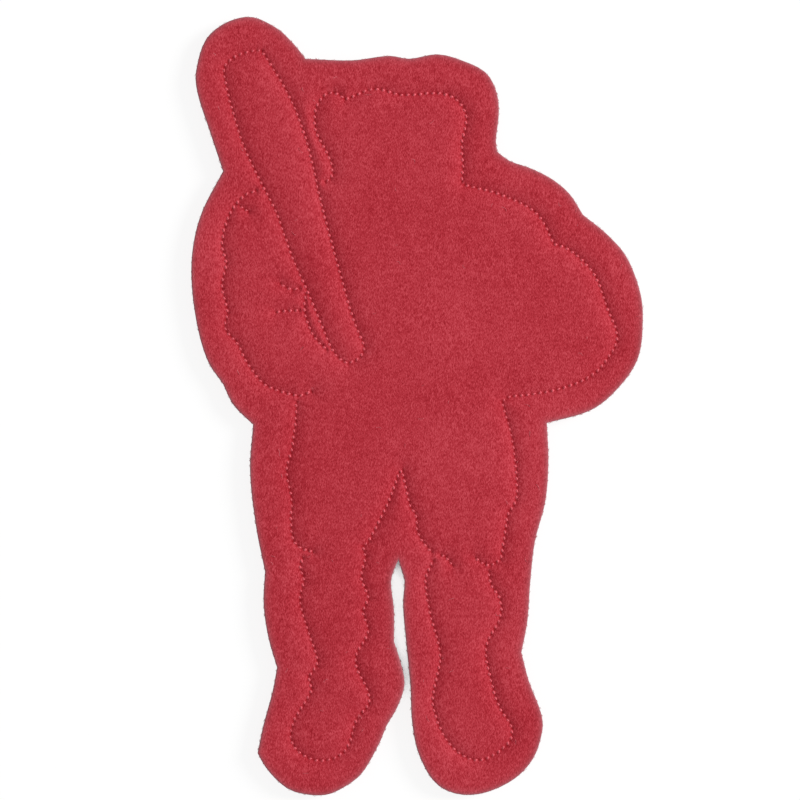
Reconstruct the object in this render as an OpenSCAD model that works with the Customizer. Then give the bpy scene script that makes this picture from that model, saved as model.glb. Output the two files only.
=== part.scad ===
// Sewn felt ball player: a flat figure of thick wool felt, lying with its plain face up.
// Lockstitch seams draw the figure and hold thinner felt appliques to its underside.
// The felt is cut by hand a little outside the seams. Head towards +Y, thickness along +Z.

/* [Pattern] */
// Height of the sewn figure, from the sole seam to the tip of the bat seam
figure_h = 237; // [180:1:320]
// Width of plain felt between the seams and the cut edge
border_w = 10; // [6:0.5:14]

/* [Felt] */
// Thickness of the felt figure
felt_t = 4; // [3:0.1:6]
// Thickness of the appliques
applique_t = 1.2; // [1:0.1:2.5]
// Width of applique between its seam and its cut edge
applique_edge = 2; // [1.2:0.1:3]
// Gap left where two appliques butt
butt_gap = 0.3; // [0.1:0.1:0.6]

/* [Seams] */
// Length of one stitch, from needle hole to needle hole
stitch_pitch = 2.1; // [1.6:0.1:4]
// Length of each stitch that is hidden in its needle holes
stitch_hidden = 0.7; // [0.5:0.1:1]
// Diameter of the sewing thread
thread_d = 0.55; // [0.4:0.05:0.7]
// Clearance under the thread, where it lies on felt
thread_clear = 0.05; // [0.03:0.01:0.1]
// Clearance on each side of the thread in its groove
groove_clear = 0.4; // [0.2:0.05:0.8]
// Depth of the groove that the thread pulls into the felt
groove_d = 0.7; // [0.3:0.05:1]
// Width of the hollow that the seam draws down, outside its groove
hollow_w = 2; // [1:0.1:3]
// Depth of that hollow
hollow_d = 0.4; // [0.1:0.05:0.8]

/* [Hidden] */
// Length of the flats that follow a curve
facet_l = 3;

// The pattern sheet, in 1 mm squares from its lower left corner. A line runs smoothly through
// its points, except at one whose third value marks a corner. A closed line ends on its first
// point.
CORNER = true;

// Cut edge of the felt, clockwise from the notch between the bat and the head
FELT_EDGE = [
    [38.5, 246.5, CORNER], [54, 246], [66.5, 247.5], [73, 246.5], [82.5, 248], [90.5, 246],
    [98.5, 242], [102, 236], [103, 229], [102, 219], [102.5, 215.5, CORNER], [106.5, 212.5],
    [113.5, 210], [120.5, 206.5], [126.5, 201.5], [131, 194.5, CORNER], [139, 188],
    [145.5, 180.5], [150, 169], [151, 160], [149.5, 147], [143.5, 137.5], [134, 129.5],
    [119, 125, CORNER], [119.5, 112], [118.5, 99], [115, 85.5], [113.5, 72.5], [112.5, 59],
    [110.5, 48.5, CORNER], [113, 39], [117, 28.5], [117.5, 22.5], [114, 12.5], [106, 5],
    [93.5, 1], [83, 4], [76.5, 14], [74, 25.5], [73.5, 37], [72, 52.5], [71, 64.5],
    [71.5, 72.5], [70.5, 76], [69.5, 79.5, CORNER], [68, 76], [67, 72], [68, 62.5],
    [68, 52, CORNER], [70.5, 44], [71.5, 37.5], [69, 30], [65.5, 24], [63.5, 19], [57.5, 8.5],
    [52, 4], [45, 1], [35, 2], [30, 5], [25, 10.5], [22.5, 15, CORNER], [24.5, 24.5],
    [27.5, 35.5], [29, 43.5, CORNER], [26, 54], [24.5, 65], [25, 75.5, CORNER], [22, 90.5],
    [20, 109], [21, 124.5, CORNER], [14.5, 131], [11, 138, CORNER], [6, 145.5], [2.5, 157],
    [0.5, 172], [1, 184], [4, 195.5], [11, 209, CORNER], [6.5, 222.5], [2.5, 235], [2, 242.5],
    [6.5, 254.5], [18.5, 260.5], [28.5, 257], [35, 251], [38.5, 246.5, CORNER],
];
// Width of the border as the sheet draws it
DRAWN_BORDER = 10;

// Each seam is a list of lines, sewn one after the other
BAT_SEAM = [[
    [12, 237.5], [11.5, 244], [16.5, 248], [23.5, 249.5, CORNER], [27.5, 243.5],
    [33.5, 233], [38.5, 220], [41.5, 208], [42.5, 203], [46.5, 187.5], [52.5, 166],
    [55, 158], [58, 150.5], [57, 147.5], [52.5, 145], [48, 148.5], [43.5, 158.5], [40, 167],
    [34, 180.5], [29, 194.5], [24.5, 203.5], [18, 217], [14, 229.5], [12, 237.5],
]];
HEAD_SEAM = [[
    [45, 205.5], [47.5, 207.5], [46, 214.5], [42, 222], [42, 230.5], [47, 235.5],
    [52, 233, CORNER], [61.5, 236.5], [70, 234.5], [86, 234.5], [92, 228], [90.5, 218],
    [91, 211], [90.5, 205.5],
]];
RIGHT_ARM_SEAM = [[
    [91.5, 204.5], [104, 201], [115.5, 195], [121.5, 184.5, CORNER], [125.5, 183.5],
    [134.5, 175], [139, 163.5], [142.5, 153.5], [139.5, 147], [134, 141], [123.5, 136.5],
    [113, 134.5], [105.5, 133.5], [104, 132],
]];
RIGHT_HIP_SEAM = [[
    [104, 132], [107.5, 119], [109, 104], [108.5, 98.5], [106, 95], [105.5, 91.5],
    [103.5, 79.5],
]];
RIGHT_HEM_SEAM = [
    [[103.5, 79.5], [99.5, 77.5], [95, 80]],
    [[83.5, 81], [85, 80.5], [87.5, 77.5]],
];
RIGHT_LEG_SEAM = [[
    [99.5, 75.5], [100.5, 70.5], [103, 67.5], [103.5, 60.5], [99.5, 53], [98.5, 48.5],
    [101, 36.5], [103, 30.5], [107.5, 22.5], [105.5, 17.5], [95.5, 12.5], [86.5, 18],
    [81, 30.5], [82, 39.5], [83.5, 47.5], [80, 61.5], [78.5, 73], [81, 79],
]];
CROTCH_SEAM = [[
    [59.5, 85.5], [66, 98.5], [69.5, 108], [70.5, 109.5], [71, 108], [73.5, 97], [75.5, 94],
    [75.5, 89.5], [77.5, 85.5], [80.5, 82],
]];
LEFT_LEG_SEAM = [[
    [37.5, 80], [36.5, 76.5], [38, 73], [36.5, 66], [40.5, 52], [42.5, 44.5], [39.5, 40.5],
    [40.5, 36], [34.5, 25.5], [34, 18], [42, 12.5], [51.5, 15.5], [55.5, 26.5], [60, 32.5],
    [55, 46], [59.5, 55.5], [57.5, 62.5], [59.5, 66.5], [57, 73.5], [58.5, 80.5],
    [57.5, 83.5], [59.5, 85.5],
]];
LEFT_HEM_SEAM = [[[37.5, 83], [41, 82]]];
LEFT_HIP_SEAM = [[
    [35.5, 132], [35, 124.5], [33.5, 114.5], [32, 109.5], [34, 98.5], [33.5, 93.5],
    [34.5, 85.5], [37.5, 83],
]];
LEFT_ARM_SEAM = [
    [
        [22, 202.5], [18, 201], [13, 194.5], [10.5, 184.5], [12, 178.5], [10.5, 171],
        [12.5, 162], [11.5, 156.5], [15.5, 152], [18.5, 146], [23.5, 139], [27.5, 136.5],
        [36, 134],
    ],
    [[36, 134], [40.5, 135.5]],
    [[16.5, 197.5], [19.5, 195.5]],
];
HAND_SEAM = [
    [[38.5, 168], [38, 163], [39.5, 157.5], [41.5, 153.5], [45.5, 149.5]],
    [[30, 171.5], [33.5, 169.5], [36.5, 170]],
    [[28.5, 162], [32, 162.5], [36.5, 162.5]],
];
SEAMS = [
    BAT_SEAM, HEAD_SEAM, RIGHT_ARM_SEAM, RIGHT_HIP_SEAM, RIGHT_HEM_SEAM, RIGHT_LEG_SEAM,
    CROTCH_SEAM, LEFT_LEG_SEAM, LEFT_HEM_SEAM, LEFT_HIP_SEAM, LEFT_ARM_SEAM, HAND_SEAM,
];

// Outlines that the seams enclose, before the applique's edge is added
BODY_LINES = [
    HEAD_SEAM[0], RIGHT_ARM_SEAM[0], RIGHT_HIP_SEAM[0], RIGHT_HEM_SEAM[0],
    reversed(RIGHT_HEM_SEAM[1]), reversed(CROTCH_SEAM[0]), reversed(LEFT_HEM_SEAM[0]),
    reversed(LEFT_HIP_SEAM[0]), reversed(LEFT_ARM_SEAM[0]),
];

drawn_h = max([for (p = BAT_SEAM[0]) p.y]) - min([for (p = RIGHT_LEG_SEAM[0]) p.y]);
pattern_scale = figure_h / drawn_h;
felt_line = curve([for (p = FELT_EDGE) scaled(p)]);
felt_x = [for (p = felt_line) p.x];
felt_y = [for (p = felt_line) p.y];
sheet_centre = [min(felt_x) + max(felt_x), min(felt_y) + max(felt_y)] / 2;

groove_w = thread_d + 2 * groove_clear;
hollow_strip_w = groove_w + 2 * hollow_w;
felt_top = applique_t + felt_t;
groove_floor = felt_top - hollow_d - groove_d;
under_groove_d = thread_d + 2 * thread_clear;
// Narrowest point that an applique is cut to
least_felt_w = applique_edge;
thread_r = thread_d / 2;
thread_tip_r = thread_r / 2;
// Width of the strip along a seam's line that is then widened into a groove
core_w = thread_r;
upper_thread_z = groove_floor + thread_clear + thread_r;
lower_thread_z = under_groove_d - thread_clear - thread_r;

felt_red = "#b43640";
applique_red = "#9c2c38";
thread_red = "#d95a64";

$fn = 24;

function reversed(list) = [for (i = [len(list) - 1 : -1 : 0]) list[i]];
function unit(v) = v / norm(v);
function flat(p) = [p.x, p.y];
function quarter_turn(v) = [-v.y, v.x];

// A point of the sheet at the figure's own size
function scaled(p) = [p.x * pattern_scale, p.y * pattern_scale, p.z];

// Cubic from a to b that leaves along da and arrives along db
function blend(a, b, da, db, t) =
    let (chord = norm(b - a))
    (2 * t ^ 3 - 3 * t ^ 2 + 1) * a + (3 * t ^ 2 - 2 * t ^ 3) * b
    + chord * ((t ^ 3 - 2 * t ^ 2 + t) * da + (t ^ 3 - t ^ 2) * db);

// Direction at point i of a pattern line, on the span that joins it to point j
function heading(pts, i, j) =
    let (
        last = len(pts) - 1,
        behind = 2 * i - j,
        open_end = (behind < 0 || behind > last) && pts[0] != pts[last],
        neighbour = behind < 0 ? last - 1 : behind > last ? 1 : behind,
        from = open_end || pts[i].z == CORNER ? i : neighbour
    )
    (j - i) * unit(flat(pts[j]) - flat(pts[from]));

// Smooth line through the points, with facets about facet_l long
function curve(pts) =
    let (last = len(pts) - 1)
    [
        for (i = [0 : last - 1])
            let (
                a = flat(pts[i]),
                b = flat(pts[i + 1]),
                da = heading(pts, i, i + 1),
                db = heading(pts, i + 1, i),
                steps = ceil(norm(b - a) / facet_l)
            )
            for (k = [0 : steps - 1]) blend(a, b, da, db, k / steps),
        flat(pts[last]),
    ];

// Line of a seam at the figure's own size, with its origin at the middle of the felt
function sewn(line) = [for (p = curve([for (q = line) scaled(q)])) p - sheet_centre];

// Distance along a line of each of its points, from point i on
function reaches(line, i = 0, s = 0) =
    i == len(line) - 1
        ? [s]
        : concat([s], reaches(line, i + 1, s + norm(line[i + 1] - line[i])));

// Point of a line at distance s from its start
function point_at(line, reach, s) =
    [
        for (axis = [0, 1])
            lookup(s, [for (i = [0 : len(line) - 1]) [reach[i], line[i][axis]]])
    ];

// Narrow closed strip along a line
function strip(line) =
    let (
        last = len(line) - 1,
        side = [
            for (i = [0 : last])
                quarter_turn(unit(line[min(i + 1, last)] - line[max(i - 1, 0)])) * core_w / 2
        ]
    )
    concat(line + side, reversed(line - side));

module felt_outline() {
    offset(delta = border_w - DRAWN_BORDER * pattern_scale)
        polygon([for (p = felt_line) p - sheet_centre]);
}

// Every seam as one flat region of the given width
module seam_region(width) {
    offset(delta = (width - core_w) / 2)
        for (seam = SEAMS, line = seam)
            polygon(strip(sewn(line)));
}

module bat_outline() {
    offset(delta = applique_edge)
        polygon(sewn(BAT_SEAM[0]));
}

module body_outline() {
    offset(delta = applique_edge)
        polygon([for (line = BODY_LINES) each sewn(line)]);
}

module leg_outline(seam) {
    offset(delta = applique_edge)
        polygon(sewn(seam[0]));
}

module felt_figure() {
    color(felt_red)
        difference() {
            translate([0, 0, applique_t])
                linear_extrude(felt_t)
                    felt_outline();
            translate([0, 0, felt_top - hollow_d])
                linear_extrude(felt_t)
                    seam_region(hollow_strip_w);
            translate([0, 0, groove_floor])
                linear_extrude(felt_t)
                    seam_region(groove_w);
        }
}

// Applique of the flat shape given, grooved on its underside for the lower threads
module applique() {
    color(applique_red)
        difference() {
            linear_extrude(applique_t)
                children();
            translate([0, 0, under_groove_d - applique_t])
                linear_extrude(applique_t)
                    seam_region(groove_w);
        }
}

// The first flat shape given, cut back to butt against the second, with no slivers left
module butted() {
    offset(delta = least_felt_w / 2)
        offset(delta = -least_felt_w / 2)
            difference() {
                children(0);
                offset(delta = butt_gap)
                    children(1);
            }
}

module bat_applique() {
    applique()
        bat_outline();
}

module body_applique() {
    applique()
        butted() {
            body_outline();
            bat_outline();
        }
}

module leg_applique(seam) {
    applique()
        butted() {
            leg_outline(seam);
            body_outline();
        }
}

// One stitch along Z, tapered where it dips into its needle holes
module stitch(length) {
    half = length / 2;
    shoulder = half - thread_r;
    rotate_extrude()
        polygon([
            [0, -half], [thread_tip_r, -half], [thread_r, -shoulder],
            [thread_r, shoulder], [thread_tip_r, half], [0, half],
        ]);
}

// Stitches of a seam at height z, as a whole number on each line
module thread(seam, z) {
    color(thread_red)
        for (line = seam) {
            sewn_line = sewn(line);
            reach = reaches(sewn_line);
            total = reach[len(reach) - 1];
            count = max(1, round(total / stitch_pitch));
            pitch = total / count;
            for (k = [0 : count - 1]) {
                start = point_at(sewn_line, reach, k * pitch + stitch_hidden / 2);
                end = point_at(sewn_line, reach, (k + 1) * pitch - stitch_hidden / 2);
                middle = (start + end) / 2;
                along = end - start;
                translate([middle.x, middle.y, z])
                    rotate([0, 90, atan2(along.y, along.x)])
                        stitch(norm(along));
            }
        }
}

module upper_thread(seam) {
    thread(seam, upper_thread_z);
}

module lower_thread(seam) {
    thread(seam, lower_thread_z);
}

felt_figure();
bat_applique();
body_applique();
leg_applique(LEFT_LEG_SEAM);  // left_leg_applique
leg_applique(RIGHT_LEG_SEAM);  // right_leg_applique
upper_thread(BAT_SEAM);  // bat_upper_thread
lower_thread(BAT_SEAM);  // bat_lower_thread
upper_thread(HEAD_SEAM);  // head_upper_thread
lower_thread(HEAD_SEAM);  // head_lower_thread
upper_thread(RIGHT_ARM_SEAM);  // right_arm_upper_thread
lower_thread(RIGHT_ARM_SEAM);  // right_arm_lower_thread
upper_thread(RIGHT_HIP_SEAM);  // right_hip_upper_thread
lower_thread(RIGHT_HIP_SEAM);  // right_hip_lower_thread
upper_thread(RIGHT_HEM_SEAM);  // right_hem_upper_thread
lower_thread(RIGHT_HEM_SEAM);  // right_hem_lower_thread
upper_thread(RIGHT_LEG_SEAM);  // right_leg_upper_thread
lower_thread(RIGHT_LEG_SEAM);  // right_leg_lower_thread
upper_thread(CROTCH_SEAM);  // crotch_upper_thread
lower_thread(CROTCH_SEAM);  // crotch_lower_thread
upper_thread(LEFT_LEG_SEAM);  // left_leg_upper_thread
lower_thread(LEFT_LEG_SEAM);  // left_leg_lower_thread
upper_thread(LEFT_HEM_SEAM);  // left_hem_upper_thread
lower_thread(LEFT_HEM_SEAM);  // left_hem_lower_thread
upper_thread(LEFT_HIP_SEAM);  // left_hip_upper_thread
lower_thread(LEFT_HIP_SEAM);  // left_hip_lower_thread
upper_thread(LEFT_ARM_SEAM);  // left_arm_upper_thread
lower_thread(LEFT_ARM_SEAM);  // left_arm_lower_thread
upper_thread(HAND_SEAM);  // hand_upper_thread
lower_thread(HAND_SEAM);  // hand_lower_thread
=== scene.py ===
"""Looks of a sewn felt ball player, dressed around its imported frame.

The figure is one thick sheet of red wool felt, cut by hand. Lockstitch seams draw the player,
pull grooves into the felt and hold thinner felt appliques to its underside. Each solid of the
frame gives its outline and place to a softer piece: felt that puffs up between the seams, and
stitches of twisted thread that go down into their needle holes.
"""

import logging
import math
import random
from dataclasses import dataclass, field
from enum import Enum

import bmesh
import bpy
import numpy as np
from mathutils import Matrix, Vector, noise
from mathutils.kdtree import KDTree


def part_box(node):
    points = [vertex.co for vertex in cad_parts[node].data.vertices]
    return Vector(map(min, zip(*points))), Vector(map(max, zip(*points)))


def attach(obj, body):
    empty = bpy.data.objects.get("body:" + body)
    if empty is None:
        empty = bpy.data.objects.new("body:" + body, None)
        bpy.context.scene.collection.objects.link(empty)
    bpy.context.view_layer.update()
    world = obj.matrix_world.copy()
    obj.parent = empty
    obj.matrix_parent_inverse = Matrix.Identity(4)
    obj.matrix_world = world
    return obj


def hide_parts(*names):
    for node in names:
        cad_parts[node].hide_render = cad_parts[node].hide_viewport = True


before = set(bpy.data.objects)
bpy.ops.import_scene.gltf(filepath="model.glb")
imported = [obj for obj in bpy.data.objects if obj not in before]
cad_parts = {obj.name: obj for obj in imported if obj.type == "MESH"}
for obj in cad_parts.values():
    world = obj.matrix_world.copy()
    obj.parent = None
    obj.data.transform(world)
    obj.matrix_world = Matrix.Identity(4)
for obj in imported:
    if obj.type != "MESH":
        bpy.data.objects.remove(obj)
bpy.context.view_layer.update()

LOG = logging.getLogger("felt_player")
MM = 0.001
BODY = "root"
WHITE = "ffffff"
# Seed of all the random draws.
SEED = 7
# Points of a mesh that are closer than this are one point.
WELD = 0.001 * MM
# Upright part of the normal above which a face lies flat, and below which it is a wall.
LEVEL = 0.9
STEEP = 0.5

SEAM_NAMES = (
    "bat", "head", "right_arm", "right_hip", "right_hem", "right_leg",
    "crotch", "left_leg", "left_hem", "left_hip", "left_arm", "hand",
)
APPLIQUE_NODES = ("bat_applique", "body_applique", "left_leg_applique", "right_leg_applique")
FELT_NODE = "felt_figure"


class Face(Enum):
    """The face of a felt sheet that its seams are pulled into."""

    UPPER = 1
    LOWER = -1


def linear(hex_colour: str) -> tuple[float, float, float, float]:
    """Turns an sRGB colour into the linear colour that shaders take.

    Args:
        hex_colour: the colour as six hex digits, such as "b43641".

    Returns:
        Linear red, green, blue and an alpha of 1.
    """
    channels = [int(hex_colour[i:i + 2], 16) / 255 for i in (0, 2, 4)]
    lit = [c / 12.92 if c <= 0.04045 else ((c + 0.055) / 1.055) ** 2.4 for c in channels]
    return (*lit, 1.0)


def add_node(
    tree: bpy.types.NodeTree, kind: str, inputs: dict | None = None, **settings: object
) -> bpy.types.Node:
    """Adds a node with its settings and links.

    Args:
        tree: the node tree that gets the node.
        kind: the node's type.
        inputs: values or output sockets for the node's inputs, by name or number.
        **settings: the node's own properties.

    Returns:
        The new node.
    """
    node = tree.nodes.new(kind)
    for name, value in settings.items():
        setattr(node, name, value)
    for key, value in (inputs or {}).items():
        if isinstance(value, bpy.types.NodeSocket):
            tree.links.new(value, node.inputs[key])
        else:
            node.inputs[key].default_value = value
    return node


def new_material(name: str) -> tuple[bpy.types.Material, bpy.types.NodeTree]:
    """Makes an empty node material.

    Args:
        name: the material's name.

    Returns:
        The material and its node tree.
    """
    material = bpy.data.materials.new(name)
    material.use_nodes = True
    material.node_tree.nodes.clear()
    return material, material.node_tree


def new_object(name: str, data: bpy.types.ID) -> bpy.types.Object:
    """Links a new object to the scene.

    Args:
        name: the object's name.
        data: the mesh, curve, lamp or camera that it holds.

    Returns:
        The object, at the origin.
    """
    made = bpy.data.objects.new(name, data)
    bpy.context.scene.collection.objects.link(made)
    return made


def finished_mesh(name: str, shape: bmesh.types.BMesh) -> bpy.types.Mesh:
    """Turns a bmesh into a mesh and frees it.

    Args:
        name: the mesh's name.
        shape: the bmesh.

    Returns:
        The mesh.
    """
    mesh = bpy.data.meshes.new(name)
    shape.to_mesh(mesh)
    shape.free()
    return mesh


@dataclass(frozen=True)
class WoolFelt:
    """Pressed wool felt: a matt mat of curled fibres, a little paler where their tips catch light.

    Attributes:
        name: the material's name.
        deep: colour between the fibres.
        body: colour of most of the felt.
        tips: colour of the fibres that lie on top.
        pressed: painted shade, a darker colour where shade falls in the seams' grooves and needle
            holes.
        painted_rim_sheen: painted sheen, a paler dusty colour on the cut rim, where the fibres' ends
            catch light.
        fibre_l: length of a visible tuft of fibres.
        fibre_w: its width, drawn wider than one fibre so that it shows.
        fibre_turns: directions that the tufts lie in, in degrees.
        mottle: size of the uneven patches.
        mottle_share: how much they add to the tone.
        cloud: size of the faint changes of tone across the sheet.
        cloud_share: how much they add to the tone.
        tones: the tones that get the deep colour and the tips' colour.
        roughness: between the fibres and on their tips.
        nap: height of the tufts.
        nap_share: how much of that height the light shows.
        gloss: level of the mirror-like part of the light, which wool has little of.
        sheen: weight of the soft glow of fibres that stand up.
        sheen_rough: how wide that glow spreads.
    """

    name: str = "wool_felt_red"
    deep: str = "9b1d28"
    body: str = "b5313d"
    tips: str = "cd4d58"
    # Painted shade in the seams' grooves and needle holes.
    pressed: str = "900612"
    # Painted sheen on the cut rim, paler where the fibres' ends catch light.
    painted_rim_sheen: str = "9c757d"
    fibre_l: float = 0.85 * MM
    fibre_w: float = 0.29 * MM
    fibre_turns: tuple[float, ...] = (86.0, 66.0, 108.0)
    mottle: float = 2.4 * MM
    mottle_share: float = 0.14
    cloud: float = 30 * MM
    cloud_share: float = 0.1
    tones: tuple[float, float] = (0.515, 0.725)
    roughness: tuple[float, float] = (0.8, 0.6)
    nap: float = 0.15 * MM
    nap_share: float = 0.6
    gloss: float = 0.06
    sheen: float = 0.1
    sheen_rough: float = 0.4

    def material(self) -> bpy.types.Material:
        """Makes the felt's material.

        Returns:
            The material, which reads a felt sheet's attributes of painted shade in the seams and
            painted sheen on the cut rim.
        """
        material, tree = new_material(self.name)
        place = add_node(tree, "ShaderNodeTexCoord").outputs["Object"]
        fibres = self.fibres(tree, place)
        mottle = add_node(
            tree, "ShaderNodeTexNoise",
            {"Vector": place, "Scale": 1 / self.mottle, "Detail": 4.0, "Roughness": 0.6},
        ).outputs["Fac"]
        cloud = add_node(
            tree, "ShaderNodeTexNoise", {"Vector": place, "Scale": 1 / self.cloud, "Detail": 2.0}
        ).outputs["Fac"]
        patchy = add_node(
            tree, "ShaderNodeMath", {0: mottle, 1: self.mottle_share, 2: fibres},
            operation="MULTIPLY_ADD",
        ).outputs[0]
        tone = add_node(
            tree, "ShaderNodeMath", {0: cloud, 1: self.cloud_share, 2: patchy},
            operation="MULTIPLY_ADD",
        ).outputs[0]
        level = add_node(
            tree, "ShaderNodeMapRange",
            {"Value": tone, "From Min": self.tones[0], "From Max": self.tones[1]},
        ).outputs["Result"]
        ramp = add_node(tree, "ShaderNodeValToRGB", {"Fac": level})
        stops = ramp.color_ramp.elements
        stops[0].color = linear(self.deep)
        stops[1].color = linear(self.tips)
        stops.new(position=0.5).color = linear(self.body)
        colour = ramp.outputs["Color"]
        # Painted shade darkens the seams and needle holes, and painted sheen pales the cut rim.
        for mark, painted_tone in (("pressed", self.pressed), ("painted_rim_sheen", self.painted_rim_sheen)):
            share = add_node(tree, "ShaderNodeAttribute", attribute_name=mark).outputs["Fac"]
            # A mix of colours has its share at socket 0 and the colours at sockets 6 and 7.
            colour = add_node(
                tree, "ShaderNodeMix", {0: share, 6: colour, 7: linear(painted_tone)}, data_type="RGBA"
            ).outputs[2]
        rough = add_node(
            tree, "ShaderNodeMapRange",
            {"Value": fibres, "To Min": self.roughness[0], "To Max": self.roughness[1]},
        ).outputs["Result"]
        bump = add_node(
            tree, "ShaderNodeBump",
            {"Height": fibres, "Strength": self.nap_share, "Distance": self.nap},
        ).outputs["Normal"]
        shader = add_node(
            tree, "ShaderNodeBsdfPrincipled",
            {
                "Base Color": colour, "Roughness": rough, "Normal": bump,
                "Specular IOR Level": self.gloss, "Sheen Weight": self.sheen,
                "Sheen Roughness": self.sheen_rough, "Sheen Tint": linear(self.tips),
            },
        )
        add_node(tree, "ShaderNodeOutputMaterial", {"Surface": shader.outputs["BSDF"]})
        return material

    def fibres(
        self, tree: bpy.types.NodeTree, place: bpy.types.NodeSocket
    ) -> bpy.types.NodeSocket:
        """Adds tufts of fibres that cross in several directions.

        Args:
            tree: the material's node tree.
            place: where the surface is.

        Returns:
            The height of the tufts, about 0.5 on average.
        """
        total: bpy.types.NodeSocket | float = 0.0
        for turn in self.fibre_turns:
            laid = add_node(
                tree, "ShaderNodeMapping",
                {
                    "Vector": place, "Rotation": (0.0, 0.0, math.radians(turn)),
                    "Scale": (self.fibre_l, self.fibre_w, self.fibre_w),
                },
                vector_type="TEXTURE",
            ).outputs["Vector"]
            tuft = add_node(
                tree, "ShaderNodeTexNoise",
                {"Vector": laid, "Scale": 1.0, "Detail": 2.0, "Distortion": 0.5},
            ).outputs["Fac"]
            total = add_node(
                tree, "ShaderNodeMath", {0: tuft, 1: 1 / len(self.fibre_turns), 2: total},
                operation="MULTIPLY_ADD",
            ).outputs[0]
        return total


@dataclass(frozen=True)
class TwistedThread:
    """Spun polyester sewing thread: two twisted plies with a soft shine along each.

    Attributes:
        name: the material's name.
        valley_shade: painted shade between the plies and where a stitch goes down into its holes.
        crest: colour of the plies.
        strand: size of the fibres that streak the plies.
        strand_share: how much they add to the tone.
        strand_h: their height.
        relief: how much of that height the light shows.
        roughness: between those fibres and on them.
        gloss: level of the mirror-like part of the light.
    """

    name: str = "spun_thread_red"
    # Painted shade between the plies and at the stitches' ends.
    valley_shade: str = "9e1a26"
    crest: str = "f4727f"
    strand: float = 0.3 * MM
    strand_share: float = 0.6
    strand_h: float = 0.05 * MM
    relief: float = 0.3
    roughness: tuple[float, float] = (0.5, 0.7)
    gloss: float = 0.1

    def material(self) -> bpy.types.Material:
        """Makes the thread's material.

        Returns:
            The material, which reads the ply attribute of a stitch.
        """
        material, tree = new_material(self.name)
        place = add_node(tree, "ShaderNodeTexCoord").outputs["Object"]
        painted_ply_shading = add_node(tree, "ShaderNodeAttribute", attribute_name="painted_ply_shading").outputs["Fac"]
        streaks = add_node(
            tree, "ShaderNodeTexNoise", {"Vector": place, "Scale": 1 / self.strand, "Detail": 3.0}
        ).outputs["Fac"]
        level = add_node(
            tree, "ShaderNodeMath", {0: streaks, 1: self.strand_share, 2: painted_ply_shading},
            operation="MULTIPLY_ADD",
        ).outputs[0]
        # The valley colour is painted shade in the plies' valleys and at the stitches' ends.
        ramp = add_node(tree, "ShaderNodeValToRGB", {"Fac": level})
        ramp.color_ramp.elements[0].color = linear(self.valley_shade)
        ramp.color_ramp.elements[1].color = linear(self.crest)
        rough = add_node(
            tree, "ShaderNodeMapRange",
            {"Value": streaks, "To Min": self.roughness[0], "To Max": self.roughness[1]},
        ).outputs["Result"]
        bump = add_node(
            tree, "ShaderNodeBump",
            {"Height": streaks, "Strength": self.relief, "Distance": self.strand_h},
        ).outputs["Normal"]
        shader = add_node(
            tree, "ShaderNodeBsdfPrincipled",
            {
                "Base Color": ramp.outputs["Color"], "Roughness": rough, "Normal": bump,
                "Specular IOR Level": self.gloss,
            },
        )
        add_node(tree, "ShaderNodeOutputMaterial", {"Surface": shader.outputs["BSDF"]})
        return material


@dataclass(frozen=True)
class Stitch:
    """One stitch of a seam, as the frame has it.

    Attributes:
        centre: its middle.
        along: the direction of the seam there, level and of length 1.
        length: the length that shows.
    """

    centre: Vector
    along: Vector
    length: float


def merged_copy(node: str) -> bmesh.types.BMesh:
    """Copies a node's mesh and joins its loose triangles.

    Args:
        node: the node's name.

    Returns:
        A new bmesh, which the caller frees.
    """
    shape = bmesh.new()
    shape.from_mesh(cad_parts[node].data)
    bmesh.ops.remove_doubles(shape, verts=shape.verts, dist=WELD)
    return shape


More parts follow.
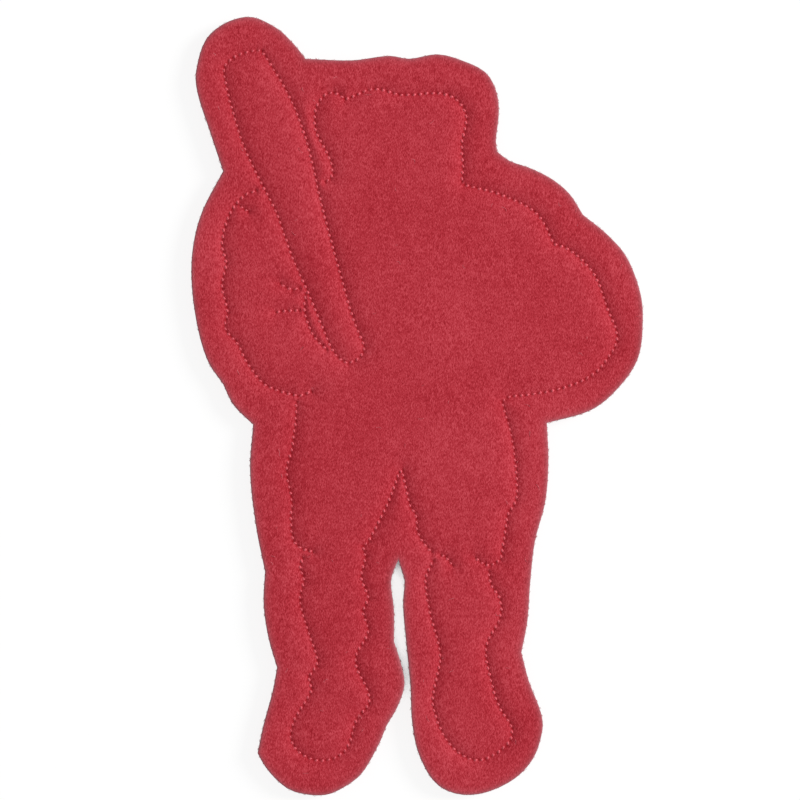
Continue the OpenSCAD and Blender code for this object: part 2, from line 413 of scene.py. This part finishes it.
@dataclass
class Seam:
    """One thread of a seam, with its stitches.

    Attributes:
        node: the thread's node in the frame.
        face: the face of the work that it lies on.
        hidden: the length of each stitch that lies in its two needle holes.
        thread_d: diameter of the thread.
        dive: how far a stitch goes down at its ends.
        dive_power: how late it does, as a power of the way to an end.
        taper: how much thinner it is at its ends.
        taper_power: how late it thins, as a power of the way to an end.
        plies: strands that are twisted together.
        swell: how far they stand out, as a share of the thread's radius.
        twist: their turns along one stitch.
        ply_tone: their mean tone in the middle of a stitch.
        ply_range: how far their crests and valleys differ from it, as painted light and painted
            shade.
        end_shade_power: how late the painted shade at a stitch's ends sets in, as a power of the way
            to an end.
        girths: the thinnest and the thickest stitch, as shares of the thread's diameter.
        slant: how far the stitches turn from the line of the seam on average, in degrees.
        stray: how far they lie to either side of it.
        sunk: how far the tightest of them are drawn into the felt.
        sides: sides of a stitch.
        rings: cuts along a stitch.
        stitches: the stitches, which are found in the node's mesh.
    """

    node: str
    face: Face
    hidden: float = 0.7 * MM
    thread_d: float = 0.8 * MM
    dive: float = 1.0 * MM
    dive_power: float = 1.7
    taper: float = 0.3
    taper_power: int = 6
    plies: int = 2
    swell: float = 0.16
    twist: float = 0.8
    ply_tone: float = 0.4
    ply_range: float = 0.35
    end_shade_power: int = 3
    girths: tuple[float, float] = (0.8, 1.2)
    slant: float = 12.0
    stray: float = 0.1 * MM
    sunk: float = 0.05 * MM
    sides: int = 8
    rings: int = 5
    stitches: list[Stitch] = field(default_factory=list)

    def __post_init__(self) -> None:
        """Finds the stitches in the node's mesh."""
        shape = merged_copy(self.node)
        seen: set[bmesh.types.BMVert] = set()
        for start in shape.verts:
            if start in seen:
                continue
            island, stack = [], [start]
            seen.add(start)
            while stack:
                vert = stack.pop()
                island.append(vert.co)
                for edge in vert.link_edges:
                    other = edge.other_vert(vert)
                    if other not in seen:
                        seen.add(other)
                        stack.append(other)
            self.stitches.append(self.measured(np.array(island)))
        shape.free()

    @staticmethod
    def measured(points: np.ndarray) -> Stitch:
        """Works out where a stitch lies.

        Args:
            points: the corners of the stitch's solid.

        Returns:
            The stitch.
        """
        centre = (points.min(axis=0) + points.max(axis=0)) / 2
        spread = points[:, :2] - centre[:2]
        along = np.linalg.eigh(spread.T @ spread)[1][:, -1]
        reach = spread @ along
        return Stitch(Vector(centre), Vector((*along, 0.0)), float(reach.max() - reach.min()))

    def stitch_form(self) -> bpy.types.Mesh:
        """Models one twisted stitch along X, 1 long, with its ends turned down.

        Returns:
            The mesh, with the painted shading of its plies and ends as an attribute.
        """
        shape = bmesh.new()
        radius = self.thread_d / 2
        half = 0.5
        bmesh.ops.create_cone(
            shape, cap_ends=True, segments=self.sides, radius1=radius, radius2=radius,
            depth=2 * half, matrix=Matrix.Rotation(math.pi / 2, 4, "Y"),
        )
        lengthwise = [e for e in shape.edges if abs(e.verts[0].co.x - e.verts[1].co.x) > half]
        bmesh.ops.subdivide_edges(shape, edges=lengthwise, cuts=self.rings)
        painted_ply_shading = shape.verts.layers.float.new("painted_ply_shading")
        for vert in shape.verts:
            end = abs(vert.co.x) / half
            angle = math.atan2(vert.co.z, vert.co.y) - math.tau * self.twist * vert.co.x
            crest = math.cos(self.plies * angle)
            girth = (1 + self.swell * crest) * (1 - self.taper * end ** self.taper_power)
            vert.co.y *= girth
            vert.co.z = vert.co.z * girth - self.dive * end ** self.dive_power
            # Painted light on the plies' crests, and painted shade in their valleys and towards the
            # ends, where the thread goes into its holes.
            vert[painted_ply_shading] = (self.ply_tone + self.ply_range * crest) * (1 - end ** self.end_shade_power)
        for face in shape.faces:
            face.smooth = True
        return finished_mesh("stitch_form", shape)

    def build(self, material: bpy.types.Material, draws: random.Random) -> bpy.types.Object:
        """Sews the seam's stitches in place of its node.

        Args:
            material: the thread's material.
            draws: the random draws that make each stitch a little different.

        Returns:
            The thread.
        """
        form = self.stitch_form()
        upside = Matrix.Rotation(0.0 if self.face is Face.UPPER else math.pi, 4, "X")
        shape = bmesh.new()
        for stitch in self.stitches:
            slant = math.radians(self.slant * draws.uniform(0, 2))
            heading = math.atan2(stitch.along.y, stitch.along.x) + slant
            across = Vector((-stitch.along.y, stitch.along.x, 0.0))
            aside = across * draws.uniform(-1, 1) * self.stray
            girth = draws.uniform(*self.girths)
            inwards = Vector((0.0, 0.0, -self.face.value)) * draws.uniform(0, 1) * self.sunk
            one = form.copy()
            one.transform(
                Matrix.Translation(stitch.centre + aside + inwards)
                @ Matrix.Rotation(heading, 4, "Z")
                @ upside
                @ Matrix.Diagonal((stitch.length + self.hidden, girth, girth, 1.0))
            )
            shape.from_mesh(one)
            bpy.data.meshes.remove(one)
        bpy.data.meshes.remove(form)
        mesh = finished_mesh(self.node + "_twisted", shape)
        mesh.materials.append(material)
        thread = new_object(self.node + "_twisted", mesh)
        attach(thread, BODY)
        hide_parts(self.node)
        return thread


class SeamMap:
    """Finds the nearest stitch to any point of the felt, seen from above.

    It searches SAMPLES points along each stitch.
    """

    SAMPLES = 7

    def __init__(self, seams: list[Seam]) -> None:
        """Lays points along every stitch.

        Args:
            seams: the threads on one face.
        """
        stitches = [(s, seam.hidden) for seam in seams for s in seam.stitches]
        self.centres = np.array([s.centre[:2] for s, _ in stitches])
        self.alongs = np.array([s.along[:2] for s, _ in stitches])
        self.halves = np.array([(s.length + hidden) / 2 for s, hidden in stitches])
        self.tree = KDTree(len(stitches) * self.SAMPLES)
        for number, (centre, along) in enumerate(zip(self.centres, self.alongs)):
            for step in np.linspace(-self.halves[number], self.halves[number], self.SAMPLES):
                self.tree.insert((*(centre + along * step), 0.0), number)
        self.tree.balance()

    def nearest(self, points: np.ndarray) -> tuple[np.ndarray, np.ndarray]:
        """Measures points from the seams.

        Args:
            points: places, one a row, of which x and y count.

        Returns:
            Each point's distance from its nearest stitch, and from that stitch's nearer
            needle hole along the seam.
        """
        number = np.array([self.tree.find((x, y, 0.0))[1] for x, y in points[:, :2]])
        offset = points[:, :2] - self.centres[number]
        along = self.alongs[number]
        lengthwise = np.abs((offset * along).sum(axis=1))
        sideways = offset[:, 0] * along[:, 1] - offset[:, 1] * along[:, 0]
        to_hole = self.halves[number] - lengthwise
        return np.hypot(sideways, np.maximum(-to_hole, 0)), np.abs(to_hole)


class Outline:
    """The cut edge of a felt sheet, seen from above.

    Its points lie about STEP apart, and its flat size is tried in directions TURN degrees apart.
    """

    STEP = 0.15 * MM
    TURN = 2

    def __init__(self, shape: bmesh.types.BMesh) -> None:
        """Lays points along the edge of a flat face.

        Args:
            shape: the flat face, whose boundary is the cut edge.
        """
        self.area = sum(face.calc_area() for face in shape.faces)
        points = []
        for edge in (e for e in shape.edges if e.is_boundary):
            start, end = (vert.co for vert in edge.verts)
            count = max(1, round(edge.calc_length() / self.STEP))
            points += [start.lerp(end, i / count) for i in range(count)]
        self.points = np.array(points)[:, :2]
        self.tree = KDTree(len(points))
        for number, (x, y) in enumerate(self.points):
            self.tree.insert((x, y, 0.0), number)
        self.tree.balance()

    def distance(self, points: np.ndarray) -> np.ndarray:
        """Each point's distance from the cut edge."""
        return np.array([self.tree.find((x, y, 0.0))[2] for x, y in points[:, :2]])

    def flat_size(self) -> tuple[float, float]:
        """Finds the smallest rectangle of felt that the sheet can be cut from.

        Returns:
            Its width and length.
        """
        sizes = []
        for turn in np.radians(range(0, 180, self.TURN)):
            across = self.points @ (math.cos(turn), math.sin(turn))
            up = self.points @ (-math.sin(turn), math.cos(turn))
            sizes.append((float(np.ptp(across)), float(np.ptp(up))))
        return min(sizes, key=math.prod)


@dataclass(frozen=True)
class Nearness:
    """How near points of a felt sheet are to what shapes it.

    Attributes:
        points: the points, one a row.
        seam: their distances from the nearest stitch.
        hole: their distances from that stitch's nearer needle hole, along the seam.
        edge: their distances from the cut edge.
    """

    points: np.ndarray
    seam: np.ndarray
    hole: np.ndarray
    edge: np.ndarray

    def ridge(self, width: float) -> np.ndarray:
        """A ridge of height 1 all along the seam, falling to 0.37 at a distance of width."""
        return np.exp(-(self.seam / width) ** 2)

    def puckers(self, width: float, length: float) -> np.ndarray:
        """Bumps of height 1 at the needle holes.

        Args:
            width: distance across the seam at which a bump has fallen to 0.37.
            length: distance along the seam at which it has.

        Returns:
            The bumps' height at each point.
        """
        return np.exp(-(self.seam / width) ** 2 - (self.hole / length) ** 2)


@dataclass(frozen=True)
class Relief:
    """How far one face of a felt sheet stands out from the frame's flat face.

    Attributes:
        lift: how far it puffs up between the seams.
        pull: how far a seam draws it down from there.
        uneven: how much that comes and goes along the seam, as a share of it.
        reach: how far from a seam that dies away.
        bed_w: half the width of the groove's rounded bed.
        notch: how much deeper it is under the thread.
        notch_w: half the width of that.
        hole: how much deeper it is at a needle hole.
        hole_w: half the width of that, across the seam.
        hole_l: half its length, along the seam.
        rim: how far the cut edge is rounded off.
        rim_w: how far in from the edge that starts.
        droop: how far it sinks on the way to the edge.
        droop_w: how far in from the edge that starts.
        waver: how far it rises and falls by itself.
        waver_l: length of those waves.
    """

    lift: float = 0.0
    pull: float = 0.0
    uneven: float = 0.0
    reach: float = 2.3 * MM
    bed_w: float = 0.6 * MM
    notch: float = 0.0
    notch_w: float = 0.5 * MM
    hole: float = 0.0
    hole_w: float = 0.7 * MM
    hole_l: float = 0.45 * MM
    rim: float = 0.4 * MM
    rim_w: float = 1.0 * MM
    droop: float = 0.0
    droop_w: float = 8 * MM
    waver: float = 0.0
    waver_l: float = 20 * MM

    def height(self, near: Nearness) -> np.ndarray:
        """Works out the height of points of the face.

        Args:
            near: how near the points are to seams and the edge.

        Returns:
            Their heights above the frame's face.
        """
        slack = 1 - np.exp((self.bed_w - np.hypot(near.seam, self.bed_w)) / self.reach)
        turned = np.clip(1 - near.edge / self.rim_w, 0, 1)
        waves = np.array([noise.noise(Vector(p[:2]).to_3d() / self.waver_l) for p in near.points])
        return (
            self.lift
            + self.pull * (1 + self.uneven * waves) * (slack - 1)
            + self.waver * waves * slack
            - self.notch * near.ridge(self.notch_w)
            - self.hole * near.puckers(self.hole_w, self.hole_l)
            - self.rim * (1 - np.sqrt(1 - turned ** 2))
            - self.droop * np.clip(1 - near.edge / self.droop_w, 0, 1)
        )


@dataclass
class FeltSheet:
    """A sheet of felt that seams are sewn through.

    What lies within ON_FACE of the height of a face is on that face.

    Attributes:
        node: the sheet's node in the frame.
        face: the face that its seams are pulled into; the other one is plain.
        seams: where the stitches on that face are.
        upper: the form of the upper face.
        lower: the form of the lower face.
        rests_on: what the sheet lies on; not used.
        slot: a name for the sheet's material slot; not used.
        rings: widths of the bands of faces along the cut edge, outermost first.
        wall_rows: rows of faces up the cut wall.
        grid: size of the mesh's squares inside them, away from seams.
        seam_fine: how near to a seam the squares are halved, and halved again.
        seam_shade: how far painted shade darkens the felt in the groove along a seam.
        seam_shade_w: half the width of that.
        hole_shade: how far painted shade darkens it at a needle hole.
        hole_shade_w: half the width of that, across the seam.
        hole_shade_l: half its length, along the seam.
        rim_sheen: how far painted sheen pales the rim of the cut edge, on that face.
        rim_sheen_w: how far in from the edge that dies away.
        fade: how fast this painted shade and sheen die away down the cut wall, as a power of the
            height.
    """

    node: str
    face: Face
    seams: SeamMap
    upper: Relief
    lower: Relief
    rests_on: tuple[str, ...]
    slot: str
    rings: tuple[float, ...] = (0.05 * MM, 0.15 * MM, 0.25 * MM, 0.4 * MM, 0.6 * MM)
    wall_rows: int = 4
    grid: float = 1.6 * MM
    seam_fine: tuple[float, ...] = (3.2 * MM, 1.6 * MM, 0.8 * MM)
    # Painted shade along the seams' grooves and at the needle holes.
    seam_shade: float = 0.15
    seam_shade_w: float = 0.6 * MM
    hole_shade: float = 0.6
    hole_shade_w: float = 0.4 * MM
    hole_shade_l: float = 0.5 * MM
    # Painted sheen on the cut rim.
    rim_sheen: float = 0.62
    rim_sheen_w: float = 0.7 * MM
    fade: int = 4

    ON_FACE = 0.01 * MM

    def __post_init__(self) -> None:
        """Takes the sheet's heights and its cut edge from the frame."""
        low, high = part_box(self.node)
        self.low_z, self.high_z = low.z, high.z
        self.sewn_z, self.plain_z = high.z, low.z
        if self.face is Face.LOWER:
            self.sewn_z, self.plain_z = low.z, high.z
        shape = self.plain_face()
        self.outline = Outline(shape)
        shape.free()

    def plain_face(self) -> bmesh.types.BMesh:
        """Copies the flat face that no seam is pulled into.

        Returns:
            A new bmesh, which the caller frees.
        """
        shape = merged_copy(self.node)
        others = [f for f in shape.faces if not self.is_plain(f)]
        bmesh.ops.delete(shape, geom=others, context="FACES")
        return shape

    def is_plain(self, face: bmesh.types.BMFace) -> bool:
        """Whether a face of the mesh lies on the sheet's plain side."""
        away = abs(face.calc_center_median().z - self.plain_z)
        return away < self.ON_FACE and abs(face.normal.z) > LEVEL

    def nearness(self, shape: bmesh.types.BMesh) -> Nearness:
        """Measures the corners of the sheet's mesh from its seams and edge."""
        points = np.array([v.co for v in shape.verts])
        return Nearness(points, *self.seams.nearest(points), self.outline.distance(points))

    def slab(self) -> bmesh.types.BMesh:
        """Thickens the plain face, rings both faces along the edge and grids the sewn one.

        Returns:
            A new bmesh, which the caller frees.
        """
        shape = self.plain_face()
        plain = bmesh.ops.dissolve_faces(shape, faces=shape.faces[:])["region"]
        raised = bmesh.ops.extrude_face_region(shape, geom=plain, use_keep_orig=True)["geom"]
        corners = [v for v in raised if isinstance(v, bmesh.types.BMVert)]
        bmesh.ops.translate(shape, verts=corners, vec=(0.0, 0.0, self.sewn_z - self.plain_z))
        sewn = [f for f in raised if isinstance(f, bmesh.types.BMFace)]
        bmesh.ops.recalc_face_normals(shape, faces=shape.faces[:])
        tall = (self.high_z - self.low_z) / 2
        upright = [e for e in shape.edges if abs(e.verts[0].co.z - e.verts[1].co.z) > tall]
        bmesh.ops.subdivide_edges(shape, edges=upright, cuts=self.wall_rows - 1)
        for width in self.rings:
            for face in plain + sewn:
                bmesh.ops.inset_region(
                    shape, faces=[face], thickness=width, use_boundary=True, use_even_offset=True
                )
        for axis in (Vector((1.0, 0.0, 0.0)), Vector((0.0, 1.0, 0.0))):
            sewn = self.cut_across(shape, sewn, axis)
        return shape

    def cut_across(
        self, shape: bmesh.types.BMesh, faces: list[bmesh.types.BMFace], axis: Vector
    ) -> list[bmesh.types.BMFace]:
        """Cuts faces into strips as wide as the grid.

        Args:
            shape: the sheet's mesh.
            faces: its faces to cut.
            axis: the direction across the strips.

        Returns:
            The strips.
        """
        ends = [vert.co.dot(axis) for face in faces for vert in face.verts]
        strips, rest = [], faces
        for number in range(math.ceil(min(ends) / self.grid), math.ceil(max(ends) / self.grid)):
            at = number * self.grid
            edges = {edge for face in rest for edge in face.edges}
            verts = {vert for face in rest for vert in face.verts}
            cut = bmesh.ops.bisect_plane(
                shape, geom=[*verts, *edges, *rest], dist=WELD, plane_co=axis * at, plane_no=axis
            )["geom"]
            cut = [f for f in cut if isinstance(f, bmesh.types.BMFace)]
            rest = [f for f in cut if f.calc_center_median().dot(axis) > at]
            strips += [f for f in cut if f.calc_center_median().dot(axis) <= at]
        return strips + rest

    def refine(self, shape: bmesh.types.BMesh) -> None:
        """Halves the mesh's squares along the seams, several times.

        Args:
            shape: the sheet's mesh.
        """
        for seam_fine in self.seam_fine:
            near = self.nearness(shape)
            on_face = np.abs(near.points[:, 2] - self.sewn_z) < self.ON_FACE
            close = (near.seam < seam_fine) & on_face
            shape.verts.index_update()
            edges = [e for e in shape.edges if all(close[v.index] for v in e.verts)]
            bmesh.ops.subdivide_edges(shape, edges=edges, cuts=1, use_grid_fill=True)
        bmesh.ops.triangulate(shape, faces=[f for f in shape.faces if len(f.verts) > 4])

    def puff(self, shape: bmesh.types.BMesh) -> None:
        """Gives both faces their relief, and paints shade into the seams and needle holes and sheen
        onto the cut rim.

        Args:
            shape: the sheet's mesh.
        """
        near = self.nearness(shape)
        share = np.clip((near.points[:, 2] - self.low_z) / (self.high_z - self.low_z), 0, 1)
        top = self.high_z + self.upper.height(near)
        bottom = self.low_z - self.lower.height(near)
        heights = bottom + share * (top - bottom)
        sewn = (share if self.face is Face.UPPER else 1 - share) ** self.fade
        # Painted shade in the seams' grooves and needle holes, dying away down the cut wall.
        shades = (
            self.seam_shade * near.ridge(self.seam_shade_w)
            + self.hole_shade * near.puckers(self.hole_shade_w, self.hole_shade_l)
        )
        shades = np.clip(shades * sewn, 0, 1)
        # Painted sheen on the cut rim, fading down the wall.
        tints = self.rim_sheen * np.exp(-near.edge / self.rim_sheen_w) * sewn
        pressed = shape.verts.layers.float.new("pressed")
        painted_rim_sheen = shape.verts.layers.float.new("painted_rim_sheen")
        for vert, height, shade, tint in zip(shape.verts, heights, shades, tints):
            vert.co.z = height
            vert[pressed] = shade
            vert[painted_rim_sheen] = tint
        for face in shape.faces:
            face.smooth = True

    def build(self, material: bpy.types.Material) -> bpy.types.Object:
        """Makes the sheet in place of its node.

        Args:
            material: the felt's material.

        Returns:
            The sheet.
        """
        shape = self.slab()
        self.refine(shape)
        self.puff(shape)
        mesh = finished_mesh(self.node + "_wool", shape)
        mesh.materials.append(material)
        sheet = new_object(self.node + "_wool", mesh)
        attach(sheet, BODY)
        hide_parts(self.node)
        self.outline.flat_size()
        return sheet


@dataclass
class LooseFibres:
    """Wool fibres that stand out of the felt.

    PATH says where each passes on the way to its tip, as shares of its run and of its bend.

    Attributes:
        name: the piece's name.
        count: how many there are.
        shortest: length of the shortest.
        longest: length of the longest.
        thickness: their thickness, drawn thicker than one fibre so that it shows.
        on_edge: whether they grow from the cut edge, or lie on the upper face.
        rise: how far they stand up, as a share of their length.
        settle: how much of that rise their tips lose again.
        curl: how far they bend to either side, as a share of their length.
        steps: stretches between two points of their path.
    """

    name: str
    count: int
    shortest: float
    longest: float
    thickness: float
    on_edge: bool
    rise: float
    settle: float = 0.6
    curl: float = 0.5
    steps: int = 3

    PATH = ((0.0, 0.0), (0.35, 0.5), (0.7, 1.0))

    def build(
        self, felt: bpy.types.Object, material: bpy.types.Material, draws: random.Random
    ) -> bpy.types.Object:
        """Grows the fibres on the felt.

        Args:
            felt: the felt figure.
            material: the fibres' material.
            draws: the random draws for their places and curls.

        Returns:
            The fibres.
        """
        if self.on_edge:
            roots = [p for p in felt.data.polygons if abs(p.normal.z) < STEEP]
        else:
            roots = [p for p in felt.data.polygons if p.normal.z > LEVEL]
        # The faces' order may change from run to run, and their places don't.
        roots.sort(key=lambda p: tuple(p.center))
        chosen = draws.choices(roots, weights=[p.area for p in roots], k=self.count)
        curve = bpy.data.curves.new(self.name, "CURVE")
        curve.dimensions = "3D"
        curve.bevel_depth = self.thickness / 2
        curve.bevel_resolution = 0
        curve.resolution_u = self.steps
        curve.use_fill_caps = True
        for root in chosen:
            self.add_fibre(curve, root.center.copy(), root.normal.copy(), draws)
        grown = new_object(self.name + "_curve", curve)
        graph = bpy.context.evaluated_depsgraph_get()
        mesh = bpy.data.meshes.new_from_object(grown.evaluated_get(graph))
        bpy.data.objects.remove(grown)
        bpy.data.curves.remove(curve)
        mesh.name = self.name
        mesh.materials.clear()
        mesh.materials.append(material)
        fibres = new_object(self.name, mesh)
        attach(fibres, BODY)
        return fibres

    def add_fibre(
        self, curve: bpy.types.Curve, root: Vector, normal: Vector, draws: random.Random
    ) -> None:
        """Adds one curled fibre to the curve.

        Args:
            curve: the curve that holds all the fibres.
            root: where the fibre leaves the felt.
            normal: the felt's direction outwards there.
            draws: the random draws.
        """
        length = draws.uniform(self.shortest, self.longest)
        heading = Matrix.Rotation(draws.uniform(0, math.tau), 3, normal) @ normal.orthogonal()
        run = (heading.normalized() + normal * self.rise).normalized() * length
        bend = normal.cross(run).normalized() * draws.uniform(-self.curl, self.curl) * length
        places = [root + run * along + bend * aside for along, aside in self.PATH]
        places.append(root + run - normal * self.rise * self.settle * length)
        spline = curve.splines.new("NURBS")
        spline.points.add(len(places) - 1)
        for point, place in zip(spline.points, places):
            point.co = (*place, 1.0)
        spline.use_endpoint_u = True


@dataclass
class Studio:
    """A white floor, a soft lamp from the right and a camera that looks straight down.

    Attributes:
        felt_px: where the middle of the felt is in the photograph, in pixels.
        px_per_mm: pixels of the photograph in a millimetre of felt.
        frame_px: size of the photograph.
        lens: the camera's focal length in millimetres.
        lamp_from: where the lamp stands.
        lamp_size: its width.
        lamp_watts: its power.
        sky: strength of the even light from all round.
        floor_size: width of the floor.
        floor_gap: hairline under the felt, so that no two faces lie in one plane.
        crevice: how far round a narrow gap its walls keep light from the floor.
        paper: share of the light that the floor scatters, which shows the shadow.
        glow: its own glow, which makes it white in the open.
        glow_from: shares of open sky over the floor at which the glow starts and is full.
    """

    felt_px: tuple[float, float] = (417.1, 406.1)
    px_per_mm: float = 3.0
    frame_px: int = 800
    lens: float = 135.0
    lamp_from: tuple[float, float, float] = (2.1, 0.65, 1.35)
    lamp_size: float = 1.1
    lamp_watts: float = 62.0
    sky: float = 0.5
    floor_size: float = 6.0
    floor_gap: float = 0.1 * MM
    crevice: float = 12 * MM
    paper: float = 0.15
    glow: float = 0.87
    glow_from: tuple[float, float] = (0.1, 0.25)

    def camera(self, felt_top: float) -> bpy.types.Object:
        """Sets the camera square above the felt, as the photograph was taken.

        Args:
            felt_top: height of the felt's upper face.

        Returns:
            The camera.
        """
        data = bpy.data.cameras.new("camera")
        data.lens = self.lens
        camera = new_object("camera", data)
        per_px = MM / self.px_per_mm
        middle = self.frame_px / 2
        away = self.frame_px * per_px * self.lens / data.sensor_width
        camera.location = (
            (middle - self.felt_px[0]) * per_px,
            (self.felt_px[1] - middle) * per_px,
            felt_top + away,
        )
        bpy.context.scene.camera = camera
        return camera

    def lamp(self) -> bpy.types.Object:
        """Hangs the soft lamp.

        Returns:
            The lamp.
        """
        data = bpy.data.lights.new("soft_lamp", "AREA")
        data.shape = "DISK"
        data.size = self.lamp_size
        data.energy = self.lamp_watts
        lamp = new_object("soft_lamp", data)
        lamp.location = self.lamp_from
        lamp.rotation_euler = Vector(self.lamp_from).to_track_quat("Z", "Y").to_euler()
        return lamp

    @staticmethod
    def seen_directly(tree: bpy.types.NodeTree) -> bpy.types.NodeSocket:
        """Adds the test for rays that show a background rather than light the object.

        Args:
            tree: the node tree that gets the test.

        Returns:
            1 for camera, glossy and transmission rays, and otherwise 0.
        """
        rays = add_node(tree, "ShaderNodeLightPath").outputs
        mirrored = add_node(
            tree, "ShaderNodeMath", {0: rays["Is Glossy Ray"], 1: rays["Is Transmission Ray"]},
            operation="MAXIMUM",
        ).outputs[0]
        return add_node(
            tree, "ShaderNodeMath", {0: rays["Is Camera Ray"], 1: mirrored}, operation="MAXIMUM"
        ).outputs[0]

    def light_world(self) -> None:
        """Lights the scene evenly from all round, against white."""
        world = bpy.data.worlds.new("even_sky")
        world.use_nodes = True
        tree = world.node_tree
        tree.nodes.clear()
        white = linear(WHITE)
        sky = add_node(tree, "ShaderNodeBackground", {"Color": white, "Strength": self.sky})
        backdrop = add_node(tree, "ShaderNodeBackground", {"Color": white, "Strength": 1.0})
        mix = add_node(
            tree, "ShaderNodeMixShader",
            {0: self.seen_directly(tree), 1: sky.outputs[0], 2: backdrop.outputs[0]},
        )
        add_node(tree, "ShaderNodeOutputWorld", {"Surface": mix.outputs[0]})
        bpy.context.scene.world = world

    def floor(self) -> bpy.types.Object:
        """Lays a white floor that keeps a pale shadow.

        It is seen from above only, so the figure's underside can be looked at too.

        Returns:
            The floor.
        """
        shape = bmesh.new()
        bmesh.ops.create_grid(shape, x_segments=1, y_segments=1, size=self.floor_size / 2)
        mesh = finished_mesh("floor", shape)
        mesh.transform(Matrix.Translation((0.0, 0.0, -self.floor_gap)))
        floor = new_object("floor", mesh)
        material, tree = new_material("white_paper")
        from_below = add_node(tree, "ShaderNodeNewGeometry").outputs["Backfacing"]
        seen = add_node(
            tree, "ShaderNodeMath", {0: self.seen_directly(tree), 1: from_below},
            operation="SUBTRACT", use_clamp=True,
        ).outputs[0]
        clear = add_node(tree, "ShaderNodeBsdfTransparent")
        grey = (self.paper, self.paper, self.paper, 1.0)
        shade = add_node(tree, "ShaderNodeBsdfDiffuse", {"Color": grey})
        sky = add_node(tree, "ShaderNodeAmbientOcclusion", {"Distance": self.crevice}).outputs["AO"]
        glow_level = add_node(
            tree, "ShaderNodeMapRange",
            {
                "Value": sky, "From Min": self.glow_from[0], "From Max": self.glow_from[1],
                "To Max": self.glow,
            },
        ).outputs["Result"]
        glow = add_node(tree, "ShaderNodeEmission", {"Color": linear(WHITE), "Strength": glow_level})
        paper = add_node(tree, "ShaderNodeAddShader", {0: shade.outputs[0], 1: glow.outputs[0]})
        one_way = add_node(
            tree, "ShaderNodeMixShader", {0: seen, 1: clear.outputs[0], 2: paper.outputs[0]}
        )
        add_node(tree, "ShaderNodeOutputMaterial", {"Surface": one_way.outputs[0]})
        mesh.materials.append(material)
        return floor


FELT_UPPER = Relief(
    lift=0.35 * MM, pull=0.95 * MM, uneven=0.1, bed_w=0.85 * MM, notch=0.1 * MM, hole=0.16 * MM,
    rim=0.3 * MM, rim_w=0.6 * MM, droop=0.3 * MM, waver=0.12 * MM,
)
FELT_LOWER = Relief(rim=0.5 * MM, rim_w=1.2 * MM)
APPLIQUE_UPPER = Relief(rim=0.1 * MM, rim_w=0.6 * MM)
APPLIQUE_LOWER = Relief(
    pull=0.3 * MM, reach=1.6 * MM, notch=0.35 * MM, hole=0.2 * MM, rim=0.45 * MM, rim_w=0.9 * MM,
)


def main() -> None:
    """Builds the felt, the threads and the studio."""
    logging.basicConfig(level=logging.INFO, format="%(message)s")
    bpy.context.scene.view_settings.view_transform = "Standard"
    draws = random.Random(SEED)
    thread = TwistedThread().material()
    wool = WoolFelt().material()
    thin_wool = WoolFelt(
        # The seams and needle holes of this felt get painted shade too.
        "applique_felt_red", deep="841f2a", body="9e2c38", tips="b8454f", pressed="a01420",
        fibre_l=0.7 * MM, fibre_w=0.25 * MM,
    ).material()
    sewn = {
        face: [Seam(f"{name}_{face.name.lower()}_thread", face) for name in SEAM_NAMES]
        for face in Face
    }
    for seam in sewn[Face.UPPER] + sewn[Face.LOWER]:
        made = seam.build(thread, draws)
        LOG.info("%s: %d stitches", made.name, len(seam.stitches))
    under = SeamMap(sewn[Face.LOWER])
    for node in APPLIQUE_NODES:
        made = FeltSheet(
            node, Face.LOWER, under, APPLIQUE_UPPER, APPLIQUE_LOWER, ("floor",),
            "applique_felt", rings=(0.06 * MM, 0.2 * MM, 0.3 * MM, 0.4 * MM),
            seam_fine=(2.4 * MM, 1.2 * MM),
        ).build(thin_wool)
        LOG.info("%s: %d faces", made.name, len(made.data.polygons))
    felt = FeltSheet(
        FELT_NODE, Face.UPPER, SeamMap(sewn[Face.UPPER]), FELT_UPPER, FELT_LOWER,
        tuple(f"{node}_wool" for node in APPLIQUE_NODES), "wool_felt",
    ).build(wool)
    LOG.info("%s: %d faces", felt.name, len(felt.data.polygons))
    pale = WoolFelt("stray_wool_pale", deep="c85560", body="dc747e", tips="ec939b").material()
    lint = LooseFibres(
        "lint_fibres", count=70, shortest=0.7 * MM, longest=2.4 * MM, thickness=0.1 * MM,
        on_edge=False, rise=0.12,
    )
    fuzz = LooseFibres(
        "edge_fuzz", count=1200, shortest=0.4 * MM, longest=1.3 * MM, thickness=0.07 * MM,
        on_edge=True, rise=0.6,
    )
    for fibres, finish in ((lint, pale), (fuzz, wool)):
        made = fibres.build(felt, finish, draws)
        LOG.info("%s: %d fibres", made.name, fibres.count)
    studio = Studio()
    studio.camera(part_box(FELT_NODE)[1].z)
    studio.lamp()
    studio.light_world()
    studio.floor()


if __name__ == "__main__":
    main()
